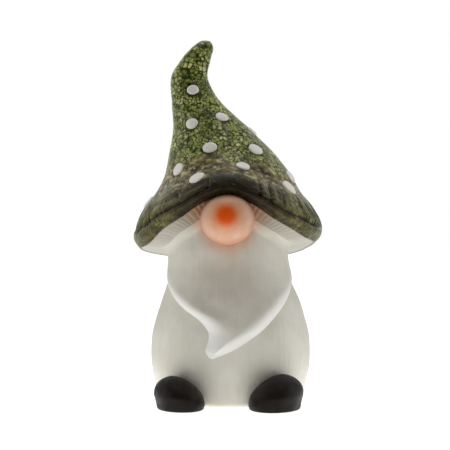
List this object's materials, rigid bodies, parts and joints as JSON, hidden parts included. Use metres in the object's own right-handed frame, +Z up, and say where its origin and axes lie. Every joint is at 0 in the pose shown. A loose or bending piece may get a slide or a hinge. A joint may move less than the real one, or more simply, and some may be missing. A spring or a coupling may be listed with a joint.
{
  "type": "garden gnome",
  "caption": "Glazed ceramic garden gnome with a speckled green mushroom hat over a ball nose, a swept white beard on a stem-shaped body, and dark rounded shoes.",
  "frame": {"origin": "middle of the footprint, at the bottom of the foot ring and shoe soles", "axes": "+Z up; the gnome faces -Y; +X to the viewer's right"},
  "size_m": [0.1584, 0.1637, 0.301],
  "materials": {
    "cream_glaze": "satin",
    "moss_glaze": "gloss",
    "peach_glaze": "satin",
    "spot_glaze": "satin",
    "black_glaze": "satin"
  },
  "bodies": {
    "root": {"body_shell": "cream_glaze", "gill_ring": "cream_glaze", "hat_shell": "moss_glaze", "beard": "cream_glaze", "nose": "peach_glaze", "left_shoe": "black_glaze", "right_shoe": "black_glaze", "spot_01": "spot_glaze", "spot_02": "spot_glaze", "spot_03": "spot_glaze", "spot_04": "spot_glaze", "spot_05": "spot_glaze", "spot_06": "spot_glaze", "spot_07": "spot_glaze", "spot_08": "spot_glaze", "spot_09": "spot_glaze", "spot_10": "spot_glaze", "spot_11": "spot_glaze", "spot_12": "spot_glaze", "spot_13": "spot_glaze", "spot_14": "spot_glaze", "spot_15": "spot_glaze", "spot_16": "spot_glaze", "spot_17": "spot_glaze", "spot_18": "spot_glaze", "spot_19": "spot_glaze", "spot_20": "spot_glaze", "spot_21": "spot_glaze"}
  },
  "joints": []
}
